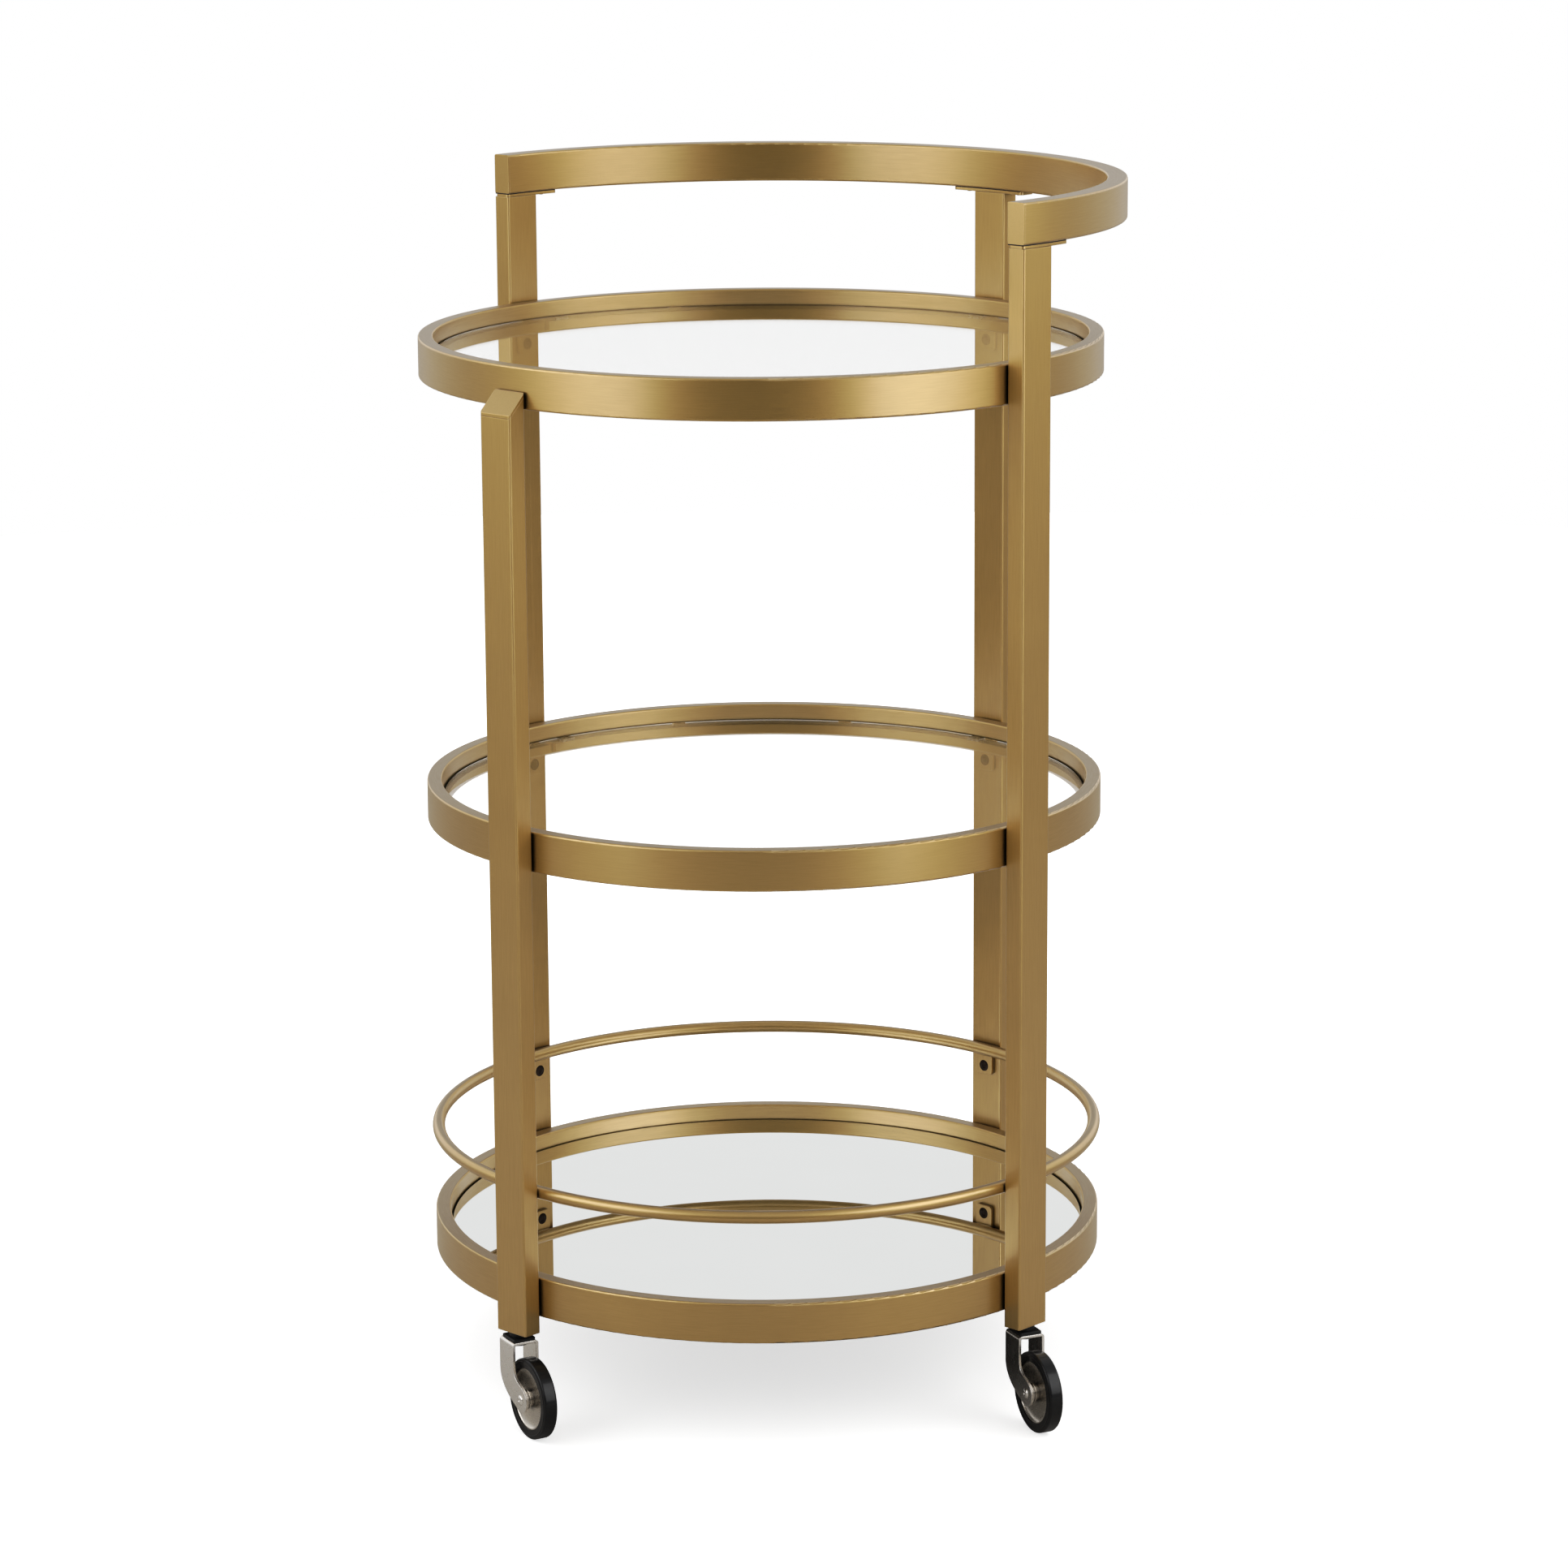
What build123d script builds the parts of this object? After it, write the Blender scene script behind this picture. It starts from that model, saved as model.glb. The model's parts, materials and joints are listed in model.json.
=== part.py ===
"""Round three-tier bar cart on swivel casters.

Millimetres, +Z up. The origin is on the floor, on the common axis of the round
shelves. -Y is the front, where the short post stands to the left of the tall one.
"""

import math
import os

from build123d import *

os.makedirs("parts", exist_ok=True)

# ---------------------------------------------------------------- dimensions
overall_diameter = 457.2
overall_height = 762.0

# posts: rectangular tube, the wide face turned outwards
post_depth = 12.7
post_width = 25.4
tube_corner = 1.2
tube_wall = 1.2
post_bottom = 63.6
post_azimuth = {
    "front_left": 225.0,
    "front_right": 315.0,
    "rear_right": 45.0,
    "rear_left": 135.0,
}
short_post_top = 650.7
short_cap_thickness = 1.6
foot_plug_height = 14.0

# handle: the same tube, rolled, on three small plates
handle_height = 25.4
plate_thickness = 2.2
plate_reach = 29.5
plate_inset = 0.5
plate_corner = 2.0
handle_screw_offset = 21.5
end_cap_thickness = 1.5

# shelves: rolled tube rings with a ledge bar, pads and a round pane
ring_gap = 1.2
ring_thickness = 9.5
ring_height = 25.4
shelf_top = {"bottom": 98.4, "middle": 381.9, "top": 665.4}
pane_drop = 10.3
pane_thickness = 5.0
pane_gap = 1.0
pad_thickness = 2.0
pad_length = 10.0
ledge_width = 4.0
ledge_height = 6.0
ledge_seam_azimuth = 133.4
ledge_seam_width = 5.5
pad_azimuths = (45.0, 129.5, 225.0, 315.0)
pane_edge = 0.4
pad_inset = 0.3

# gallery rail above the bottom shelf
rail_diameter = 8.0
rail_wall = 1.0
rail_above_shelf = 54.4

# tabs that fasten the rings to the posts
tab_thickness = 2.5
tab_width = 14.0
tab_drop = 13.8
tab_corner = 2.4
tab_screw_drop = 6.8
rail_tab_screw_drop = 8.2
foot_tab_drop = 9.2
foot_tab_screw_drop = 5.2

# M4 button-head screws and the rivet nuts that take them
screw_radius = 2.0
screw_head_radius = 3.8
screw_head_height = 2.2
head_crown_radius = 4.6
screw_length = 9.0
foot_screw_length = 4.7
hex_size = 2.5
hex_depth = 1.3
nut_radius = 3.0
nut_bulge_radius = 4.2
nut_bulge_length = 2.6
nut_length = 8.5
thread_clearance = 0.05

# casters
wheel_radius = 25.4
tyre_depth = 6.0
tyre_half_width = 4.4
tyre_shoulder = 1.3
tyre_bead = 0.4
hub_radius = 5.0
hub_half_length = 6.9
disc_rim_half = 3.9
disc_web_half = 1.6
disc_lip = 0.9
disc_web_radius = 6.5
disc_web_pull = 6.0
disc_rim_pull = 1.6
hub_edge = 0.5
axle_radius = 2.5
axle_head_radius = 3.3
axle_head_height = 1.2
axle_dimple_radius = 0.9
axle_clearance = 0.05
trail = 18.5
axle_drop = 33.5
fork_width = 17.6
fork_sheet = 1.6
fork_bend = 2.2
fork_half_depth = 9.2
fork_end_radius = 8.0
fork_front_straight = 15.0
fork_rear_straight = 19.0
fork_front_pull = 10.0
fork_rear_pull = 12.0
fork_toe_pull = 7.2
fork_heel_pull = 12.0
fork_heel_angle = -110.0
stem_radius = 4.0
stem_clearance = 0.05
stem_head_radius = 6.0
stem_head_height = 1.8
stem_plug_depth = 13.0
stem_edge = 0.5
swivel_gap = 0.15
cover_thickness = 1.8
cover_front_inset = 0.7
cover_side_inset = 1.4
cover_corner = 1.2
cover_edge = 0.3
collar_radius = 6.0
trail_azimuth = {
    "front_left": 298.0,
    "front_right": 293.0,
    "rear_right": 294.0,
    "rear_left": 297.0,
}

# ---------------------------------------------------------- derived dimensions
cart_radius = overall_diameter / 2
post_inner = cart_radius - post_depth
post_centre = cart_radius - post_depth / 2
inner_corner = 0.3
bore_depth = post_depth - 2 * tube_wall
bore_width = post_width - 2 * tube_wall
handle_bottom = overall_height - handle_height
post_top = handle_bottom - plate_thickness
ring_outer = post_inner - ring_gap
ring_inner = ring_outer - ring_thickness
ring_middle = ring_outer - ring_thickness / 2
pane_radius = ring_inner - pane_gap
ledge_drop = pane_drop + pane_thickness + pad_thickness
rail_z = shelf_top["bottom"] + rail_above_shelf
rail_centre = post_inner - rail_diameter / 2
tab_inner = post_inner - tab_thickness
disc_radius = wheel_radius - tyre_depth
fork_top = wheel_radius + axle_drop
fork_inner_half = fork_width / 2 - fork_sheet

ring_tab_top = {level: top - ring_height for level, top in shelf_top.items()}
foot_screw_z = ring_tab_top["bottom"] - foot_tab_screw_drop
screw_level = {
    "middle": ring_tab_top["middle"] - tab_screw_drop,
    "top": ring_tab_top["top"] - tab_screw_drop,
    "gallery": rail_z - rail_diameter / 2 - rail_tab_screw_drop,
}


# -------------------------------------------------------------------- planes
def station(azimuth, z):
    """Horizontal plane at height z: local X points outwards at this azimuth."""
    angle = math.radians(azimuth)
    return Plane(
        origin=(0, 0, z), x_dir=(math.cos(angle), math.sin(angle), 0), z_dir=(0, 0, 1)
    )


def facing_out(azimuth, radius, z):
    """Upright plane at this radius that faces outwards: local Y points up."""
    angle = math.radians(azimuth)
    outward = (math.cos(angle), math.sin(angle), 0)
    across = (-math.sin(angle), math.cos(angle), 0)
    origin = (radius * outward[0], radius * outward[1], z)
    return Plane(origin=origin, x_dir=across, z_dir=outward)


def section_at(azimuth):
    """Upright plane through the cart's axis: local X outwards, local Y up."""
    angle = math.radians(azimuth)
    return Plane(
        origin=(0, 0, 0),
        x_dir=(math.cos(angle), math.sin(angle), 0),
        z_dir=(math.sin(angle), -math.cos(angle), 0),
    )


def side_plane(azimuth, offset):
    """Upright plane beside a post, across the arc at this tangential offset."""
    angle = math.radians(azimuth)
    across = (-math.sin(angle), math.cos(angle), 0)
    origin = (offset * across[0], offset * across[1], 0)
    return Plane(origin=origin, x_dir=(math.cos(angle), math.sin(angle), 0), z_dir=across)


def caster_plane(name, z):
    """Horizontal plane on a caster's swivel axis: local X points along the trail."""
    angle = math.radians(post_azimuth[name])
    trail_angle = math.radians(trail_azimuth[name])
    origin = (post_centre * math.cos(angle), post_centre * math.sin(angle), z)
    return Plane(
        origin=origin,
        x_dir=(math.cos(trail_angle), math.sin(trail_angle), 0),
        z_dir=(0, 0, 1),
    )


def save(part, label):
    part.label = label
    export_step(part, f"parts/{label}.step")


# --------------------------------------------------------------------- posts
def tube_section():
    """Hollow post section, drawn in the sketch that calls it."""
    with Locations((post_centre, 0)):
        RectangleRounded(post_depth, post_width, tube_corner)
        RectangleRounded(bore_depth, bore_width, inner_corner, mode=Mode.SUBTRACT)


def slant_plane(offset):
    """The short post's 45 degree top: high at the shelves, low outside."""
    azimuth = post_azimuth["front_left"]
    upright = facing_out(azimuth, post_inner, short_post_top)
    normal = (upright.z_dir + Vector(0, 0, 1)).normalized()
    return Plane(
        origin=upright.origin + normal * offset, x_dir=upright.x_dir, z_dir=normal
    )


for name, azimuth in post_azimuth.items():
    is_short = name == "front_left"
    top = short_post_top if is_short else post_top
    with BuildPart() as post:
        with BuildSketch(station(azimuth, post_bottom)):
            tube_section()
        extrude(amount=top - post_bottom)
        for z in screw_level.values():
            with BuildSketch(facing_out(azimuth, post_inner, z)):
                Circle(nut_radius)
            extrude(amount=tube_wall, mode=Mode.SUBTRACT)
        with BuildSketch(facing_out(azimuth, post_inner, foot_screw_z)):
            Circle(screw_radius + thread_clearance)
        extrude(amount=tube_wall, mode=Mode.SUBTRACT)
        if is_short:
            split(bisect_by=slant_plane(-short_cap_thickness), keep=Keep.BOTTOM)
    save(post.part, f"post_{name}")

with BuildPart() as short_cap:
    with BuildSketch(station(post_azimuth["front_left"], short_post_top - post_depth * 2)):
        with Locations((post_centre, 0)):
            RectangleRounded(post_depth, post_width, tube_corner)
    extrude(amount=post_depth * 2)
    split(bisect_by=slant_plane(0), keep=Keep.BOTTOM)
    split(bisect_by=slant_plane(-short_cap_thickness), keep=Keep.TOP)
save(short_cap.part, "short_post_cap")

with BuildPart() as foot_plugs:
    for azimuth in post_azimuth.values():
        with BuildSketch(station(azimuth, post_bottom)):
            with Locations((post_centre, 0)):
                RectangleRounded(bore_depth, bore_width, inner_corner)
                Circle(stem_radius + thread_clearance, mode=Mode.SUBTRACT)
        extrude(amount=foot_plug_height)
        with BuildSketch(facing_out(azimuth, post_inner, foot_screw_z)):
            Circle(screw_radius + thread_clearance)
        extrude(amount=post_depth / 2, mode=Mode.SUBTRACT)
save(foot_plugs.part, "post_foot_plugs")


# -------------------------------------------------------------------- handle
# The handle covers half the circle. Its two ends are cut by one plane, which
# lies in the outer side faces of the two end posts.
handle_azimuth = post_azimuth["front_right"]
handle_overrun = 6.0
half_post = post_width / 2


def handle_bar(wall):
    """Rolled handle, a little longer than half a turn; wall 0 makes it solid."""
    with BuildPart() as bar:
        with BuildSketch(section_at(handle_azimuth - handle_overrun)):
            with Locations((post_centre, handle_bottom + handle_height / 2)):
                RectangleRounded(post_depth, handle_height, tube_corner)
                if wall:
                    RectangleRounded(
                        post_depth - 2 * wall,
                        handle_height - 2 * wall,
                        inner_corner,
                        mode=Mode.SUBTRACT,
                    )
        revolve(axis=Axis.Z, revolution_arc=180 + 2 * handle_overrun)
    return bar.part


# each end post's plate reaches only along the handle, the middle one both ways
plate_spans = {
    "front_right": (-half_post, plate_reach),
    "rear_right": (-plate_reach, plate_reach),
    "rear_left": (-plate_reach, half_post),
}
handle_screw_spots = [
    ("front_right", handle_screw_offset),
    ("rear_right", -handle_screw_offset),
    ("rear_right", handle_screw_offset),
    ("rear_left", -handle_screw_offset),
]


def handle_screw_plane(name, offset, z):
    """Horizontal plane at a handle screw; the offset is measured along the arc."""
    turn = math.degrees(offset / post_centre)
    base = station(post_azimuth[name] + turn, z)
    return Plane(origin=base.from_local_coords((post_centre, 0, 0)), z_dir=(0, 0, 1))


with BuildPart() as handle_rail:
    add(handle_bar(tube_wall))
    split(bisect_by=side_plane(handle_azimuth, end_cap_thickness - half_post))
    for name, offset in handle_screw_spots:
        with BuildSketch(handle_screw_plane(name, offset, handle_bottom)):
            Circle(nut_radius)
        extrude(amount=tube_wall, mode=Mode.SUBTRACT)
save(handle_rail.part, "handle_rail")

with BuildPart() as handle_end_caps:
    add(handle_bar(0))
    split(bisect_by=side_plane(handle_azimuth, -half_post))
    split(
        bisect_by=side_plane(handle_azimuth, end_cap_thickness - half_post),
        keep=Keep.BOTTOM,
    )
save(handle_end_caps.part, "handle_end_caps")

for name, (low, high) in plate_spans.items():
    with BuildPart() as plate:
        with BuildSketch(station(post_azimuth[name], post_top)):
            Circle(cart_radius - plate_inset)
            Circle(post_inner + plate_inset, mode=Mode.SUBTRACT)
            with Locations((post_centre, (low + high) / 2)):
                Rectangle(3 * post_depth, high - low, mode=Mode.INTERSECT)
        extrude(amount=plate_thickness)
        free_ends = plate.edges().filter_by(Axis.Z)
        fillet(free_ends, plate_corner)
        for spot, offset in handle_screw_spots:
            if spot == name:
                with BuildSketch(handle_screw_plane(name, offset, post_top)):
                    Circle(screw_radius + thread_clearance)
                extrude(amount=plate_thickness, mode=Mode.SUBTRACT)
    save(plate.part, f"handle_plate_{name}")


# ------------------------------------------------------------------- shelves
for level, top in shelf_top.items():
    with BuildPart() as ring:
        with BuildSketch(Plane.XZ):
            with Locations((ring_middle, top - ring_height / 2)):
                RectangleRounded(ring_thickness, ring_height, tube_corner)
                RectangleRounded(
                    ring_thickness - 2 * tube_wall,
                    ring_height - 2 * tube_wall,
                    inner_corner,
                    mode=Mode.SUBTRACT,
                )
        revolve(axis=Axis.Z)
    save(ring.part, f"{level}_shelf_ring")

    # the ledge is a flat bar rolled to a ring, open at its seam
    seam_half_angle = math.degrees(ledge_seam_width / 2 / ring_inner)
    with BuildPart() as ledge:
        with BuildSketch(section_at(ledge_seam_azimuth + seam_half_angle)):
            with Locations(
                (ring_inner - ledge_width / 2, top - ledge_drop - ledge_height / 2)
            ):
                RectangleRounded(ledge_width, ledge_height, inner_corner)
        revolve(axis=Axis.Z, revolution_arc=360 - 2 * seam_half_angle)
    save(ledge.part, f"{level}_shelf_ledge")

    pane_label = "bottom_mirror" if level == "bottom" else f"{level}_glass"
    with BuildPart() as pane:
        with BuildSketch(Plane.XY.offset(top - pane_drop)):
            Circle(pane_radius)
        extrude(amount=-pane_thickness)
        chamfer(pane.edges().filter_by(GeomType.CIRCLE), pane_edge)
    save(pane.part, pane_label)

with BuildPart() as bumper_pads:
    for top in shelf_top.values():
        for azimuth in pad_azimuths:
            with BuildSketch(station(azimuth, top - ledge_drop)):
                Circle(ring_inner - pad_inset)
                Circle(ring_inner - ledge_width, mode=Mode.SUBTRACT)
                with Locations((ring_inner, 0)):
                    Rectangle(4 * ledge_width, pad_length, mode=Mode.INTERSECT)
            extrude(amount=pad_thickness)
save(bumper_pads.part, "bumper_pads")


# -------------------------------------------------------- tabs, gallery rail
def make_tab(azimuth, top, bottom, screw_z):
    """Flat tab against a post's inner face, with its screw hole."""
    with BuildPart() as tab:
        with BuildSketch(facing_out(azimuth, tab_inner, 0)):
            with Locations((0, (top + bottom) / 2)):
                outline = Rectangle(tab_width, top - bottom)
            fillet(outline.vertices().group_by(Axis.Y)[0], tab_corner)
            with Locations((0, screw_z)):
                Circle(screw_radius + thread_clearance, mode=Mode.SUBTRACT)
        extrude(amount=tab_thickness)
    return tab.part


for level, top in ring_tab_top.items():
    is_foot = level == "bottom"
    drop = foot_tab_drop if is_foot else tab_drop
    screw_z = foot_screw_z if is_foot else screw_level[level]
    with BuildPart() as tabs:
        for azimuth in post_azimuth.values():
            add(make_tab(azimuth, top, top - drop, screw_z))
    save(tabs.part, f"{level}_shelf_tabs")

with BuildPart() as gallery_rail:
    with BuildSketch(Plane.XZ):
        with Locations((rail_centre, rail_z)):
            Circle(rail_diameter / 2)
            Circle(rail_diameter / 2 - rail_wall, mode=Mode.SUBTRACT)
    revolve(axis=Axis.Z)
save(gallery_rail.part, "gallery_rail")

with BuildPart() as gallery_tabs:
    for azimuth in post_azimuth.values():
        lowest = rail_z - rail_diameter / 2 - tab_drop
        add(make_tab(azimuth, rail_z, lowest, screw_level["gallery"]))
    with Locations((0, 0, rail_z)):
        Torus(rail_centre, rail_diameter / 2, mode=Mode.SUBTRACT)
save(gallery_tabs.part, "gallery_tabs")


# ----------------------------------------------------- screws and rivet nuts
# Both stand on the face that the screw clamps, with the shank along +Z.
def make_screw(length):
    """Button-head screw with a hex socket."""
    crown = (0, -screw_head_height)
    rim = (screw_head_radius, 0)
    with BuildPart() as screw:
        with BuildSketch(Plane.XZ):
            with BuildLine():
                RadiusArc(crown, rim, head_crown_radius)
                Polyline(rim, (0, 0), crown)
            make_face()
            with Locations((screw_radius / 2, length / 2)):
                Rectangle(screw_radius, length)
        revolve(axis=Axis.Z)
        with BuildSketch(Plane.XY.offset(-screw_head_height)):
            RegularPolygon(hex_size / 2, 6, major_radius=False)
        extrude(amount=hex_depth, mode=Mode.SUBTRACT)
    return screw.part


with BuildPart() as rivet_nut:
    with BuildSketch():
        Circle(nut_radius)
    extrude(amount=nut_length)
    with BuildSketch(Plane.XY.offset(tube_wall)):
        Circle(nut_bulge_radius)
    extrude(amount=nut_bulge_length)
    with BuildSketch():
        Circle(screw_radius + thread_clearance)
    extrude(amount=nut_length, mode=Mode.SUBTRACT)


def save_copies(piece, planes, label):
    """Write one node that holds a copy of the piece on every plane."""
    with BuildPart() as copies:
        with Locations(*[plane.location for plane in planes]):
            add(piece)
    save(copies.part, label)


def post_planes(radius, levels):
    """One plane on every post at each of these heights."""
    return [
        facing_out(azimuth, radius, z) for z in levels for azimuth in post_azimuth.values()
    ]


def handle_planes(z):
    return [handle_screw_plane(name, offset, z) for name, offset in handle_screw_spots]


long_screw = make_screw(screw_length)
shelf_levels = [screw_level["middle"], screw_level["top"]]
save_copies(long_screw, post_planes(tab_inner, shelf_levels), "shelf_screws")
save_copies(long_screw, post_planes(tab_inner, [screw_level["gallery"]]), "gallery_screws")
save_copies(long_screw, handle_planes(post_top), "handle_screws")
foot_screw = make_screw(foot_screw_length)
save_copies(foot_screw, post_planes(tab_inner, [foot_screw_z]), "bottom_shelf_screws")
nut_planes = post_planes(post_inner, screw_level.values()) + handle_planes(handle_bottom)
save_copies(rivet_nut.part, nut_planes, "rivet_nuts")


# ------------------------------------------------------------------- casters
def axle_frame(name):
    """Plane on a wheel's axle: local X along the trail, local Y along the axle."""
    base = caster_plane(name, wheel_radius)
    return Plane(origin=base.from_local_coords((trail, 0, 0)), x_dir=base.x_dir, z_dir=(0, 0, 1))


def axle_line(name):
    frame = axle_frame(name)
    return Axis(frame.origin, frame.y_dir)


def leg_outline(side):
    """Side view of the fork: X along the trail from the swivel axis, Y from the axle."""
    half = fork_half_depth
    front_turn = axle_drop - fork_front_straight
    rear_turn = axle_drop - fork_rear_straight
    axle = Vector(trail, 0)
    toe = Vector(1, 1).normalized()
    toe_slope = Vector(-1, 1).normalized()
    heel = Vector(1, 0).rotate(Axis.Z, fork_heel_angle)
    heel_slope = Vector(0, 1).rotate(Axis.Z, fork_heel_angle)
    toe_end = axle + toe * fork_end_radius
    heel_end = axle + heel * fork_end_radius
    with BuildSketch(side) as outline:
        with BuildLine():
            Polyline((-half, rear_turn), (-half, axle_drop), (half, axle_drop), (half, front_turn))
            Bezier(
                (half, front_turn),
                (half, front_turn - fork_front_pull),
                toe_end + toe_slope * fork_toe_pull,
                toe_end,
            )
            ThreePointArc(toe_end, axle + Vector(fork_end_radius, 0), heel_end)
            Bezier(
                heel_end,
                heel_end - heel_slope * fork_heel_pull,
                (-half, rear_turn - fork_rear_pull),
                (-half, rear_turn),
            )
        make_face()
    return outline.sketch


def make_fork(name):
    """Bent U of sheet: a web under the post and two legs that sweep to the axle."""
    swivel = caster_plane(name, fork_top)
    along_trail = Plane(origin=swivel.origin, x_dir=swivel.y_dir, z_dir=swivel.x_dir)
    side = Plane(
        origin=caster_plane(name, wheel_radius).origin,
        x_dir=swivel.x_dir,
        z_dir=-swivel.y_dir,
    )
    reach = trail + 2 * fork_end_radius
    depth = axle_drop + 2 * fork_end_radius
    with BuildSketch() as inside:
        with Locations((0, -depth / 2)):
            hollow = Rectangle(2 * fork_inner_half, depth)
        fillet(hollow.vertices().group_by(Axis.Y)[-1], fork_bend - fork_sheet)
    with BuildPart() as fork:
        with BuildSketch(along_trail):
            with Locations((0, -depth / 2)):
                outer = Rectangle(fork_width, depth)
            fillet(outer.vertices().group_by(Axis.Y)[-1], fork_bend)
            with Locations((0, -fork_sheet)):
                add(inside.sketch, mode=Mode.SUBTRACT)
        extrude(amount=reach, both=True)
        extrude(leg_outline(side), amount=fork_width, both=True, mode=Mode.INTERSECT)
        with BuildSketch(swivel):
            Circle(stem_radius + stem_clearance)
        extrude(amount=-fork_sheet * 2, mode=Mode.SUBTRACT)
        with BuildSketch(side):
            with Locations((trail, 0)):
                Circle(axle_radius)
        extrude(amount=fork_width, both=True, mode=Mode.SUBTRACT)
    return fork.part


def make_swivel_cover(name):
    """Black plate on the fork's web, inside its bright edge."""
    with BuildPart() as cover:
        with BuildSketch(caster_plane(name, fork_top)):
            RectangleRounded(
                2 * (fork_half_depth - cover_front_inset),
                fork_width - 2 * cover_side_inset,
                cover_corner,
            )
            Circle(stem_radius + stem_clearance, mode=Mode.SUBTRACT)
        extrude(amount=cover_thickness)
        chamfer(cover.faces().sort_by(Axis.Z)[-1].outer_wire().edges(), cover_edge)
    return cover.part


def make_stem(name):
    """Threaded stem with the head that carries the fork's web."""
    head_top = fork_top - fork_sheet - swivel_gap
    with BuildPart() as stem:
        with BuildSketch(caster_plane(name, head_top - stem_head_height)):
            Circle(stem_head_radius)
        extrude(amount=stem_head_height)
        with BuildSketch(caster_plane(name, head_top)):
            Circle(stem_radius)
        extrude(amount=post_bottom + stem_plug_depth - head_top)
        chamfer(stem.edges().group_by(Axis.Z)[0], stem_edge)
        chamfer(stem.edges().group_by(Axis.Z)[-1], stem_edge)
    return stem.part


def make_collar(name):
    """Thrust collar between the swivel cover and the foot of the post."""
    bottom = fork_top + cover_thickness + swivel_gap
    with BuildPart() as collar:
        with BuildSketch(caster_plane(name, bottom)):
            Circle(collar_radius)
            Circle(stem_radius + stem_clearance, mode=Mode.SUBTRACT)
        extrude(amount=post_bottom - bottom)
    return collar.part


def make_axle(name):
    """Rivet through both legs, with a domed and dimpled head on each end."""
    leg_face = fork_width / 2
    crown = leg_face + axle_head_height
    with BuildPart() as axle:
        with BuildSketch(axle_frame(name)):
            with BuildLine():
                Polyline(
                    (0, 0),
                    (axle_radius, 0),
                    (axle_radius, leg_face),
                    (axle_head_radius, leg_face),
                )
                RadiusArc(
                    (axle_head_radius, leg_face),
                    (axle_dimple_radius, crown),
                    -axle_head_radius,
                )
                Polyline((axle_dimple_radius, crown), (0, crown - axle_dimple_radius), (0, 0))
            make_face()
            mirror(about=Plane.XZ)
        revolve(axis=axle_line(name))
    return axle.part


def make_hub(name):
    """Dished disc with a long boss that runs on the axle."""
    bore = axle_radius + axle_clearance
    with BuildPart() as hub:
        with BuildSketch(axle_frame(name)):
            with BuildLine():
                Polyline(
                    (disc_radius, 0),
                    (bore, 0),
                    (bore, hub_half_length),
                    (hub_radius - hub_edge, hub_half_length),
                    (hub_radius, hub_half_length - hub_edge),
                    (hub_radius, disc_web_half),
                    (disc_web_radius, disc_web_half),
                )
                Bezier(
                    (disc_web_radius, disc_web_half),
                    (disc_web_radius + disc_web_pull, disc_web_half),
                    (disc_radius - disc_lip - disc_rim_pull, disc_rim_half - disc_rim_pull),
                    (disc_radius - disc_lip, disc_rim_half),
                )
                Polyline(
                    (disc_radius - disc_lip, disc_rim_half),
                    (disc_radius, disc_rim_half),
                    (disc_radius, 0),
                )
            make_face()
            mirror(about=Plane.XZ)
        revolve(axis=axle_line(name))
    return hub.part


def make_tyre(name):
    """Solid rubber tyre with rounded shoulders."""
    with BuildPart() as tyre:
        with BuildSketch(axle_frame(name)):
            with Locations(((disc_radius + wheel_radius) / 2, 0)):
                outline = Rectangle(tyre_depth, 2 * tyre_half_width)
            fillet(outline.vertices().group_by(Axis.X)[-1], tyre_shoulder)
            fillet(outline.vertices().group_by(Axis.X)[0], tyre_bead)
        revolve(axis=axle_line(name))
    return tyre.part


caster_pieces = {
    "caster_stem": make_stem,
    "caster_collar": make_collar,
    "caster_fork": make_fork,
    "swivel_cover": make_swivel_cover,
    "wheel_axle": make_axle,
    "wheel_hub": make_hub,
    "tyre": make_tyre,
}
for name in post_azimuth:
    for kind, make in caster_pieces.items():
        save(make(name), f"{kind}_{name}")
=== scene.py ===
import json
import math

import bmesh
import bpy
from mathutils import Matrix, Vector


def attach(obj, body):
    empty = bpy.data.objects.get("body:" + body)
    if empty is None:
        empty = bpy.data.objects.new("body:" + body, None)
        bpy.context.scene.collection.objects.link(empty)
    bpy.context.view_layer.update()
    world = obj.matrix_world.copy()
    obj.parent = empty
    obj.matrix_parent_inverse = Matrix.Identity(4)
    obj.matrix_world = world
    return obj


# Looks of the round bar cart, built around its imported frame: materials for every
# CAD node, fine detail pieces, a pale studio and the camera. Metres, +Z up,
# -Y front, the floor at z = 0.

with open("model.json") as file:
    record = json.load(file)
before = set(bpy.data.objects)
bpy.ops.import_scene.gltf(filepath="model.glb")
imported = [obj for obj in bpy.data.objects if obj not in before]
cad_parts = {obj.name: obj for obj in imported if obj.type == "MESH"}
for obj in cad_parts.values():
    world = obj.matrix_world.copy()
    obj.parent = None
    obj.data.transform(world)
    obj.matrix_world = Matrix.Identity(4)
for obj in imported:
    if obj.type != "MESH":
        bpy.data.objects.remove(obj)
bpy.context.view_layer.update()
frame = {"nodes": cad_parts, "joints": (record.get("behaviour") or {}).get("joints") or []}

CASTERS = ("front_left", "front_right", "rear_right", "rear_left")


# ------------------------------------------------------------- shader helpers
EDGE_SAMPLES = 6
NOISE_SPREAD = (0.3, 0.7)


def new_material(name):
    """An empty Principled material: its tree and its shader."""
    material = bpy.data.materials.new(name)
    material.use_nodes = True
    tree = material.node_tree
    tree.nodes.clear()
    shader = tree.nodes.new("ShaderNodeBsdfPrincipled")
    output = tree.nodes.new("ShaderNodeOutputMaterial")
    tree.links.new(shader.outputs["BSDF"], output.inputs["Surface"])
    return material, tree, shader


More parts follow.
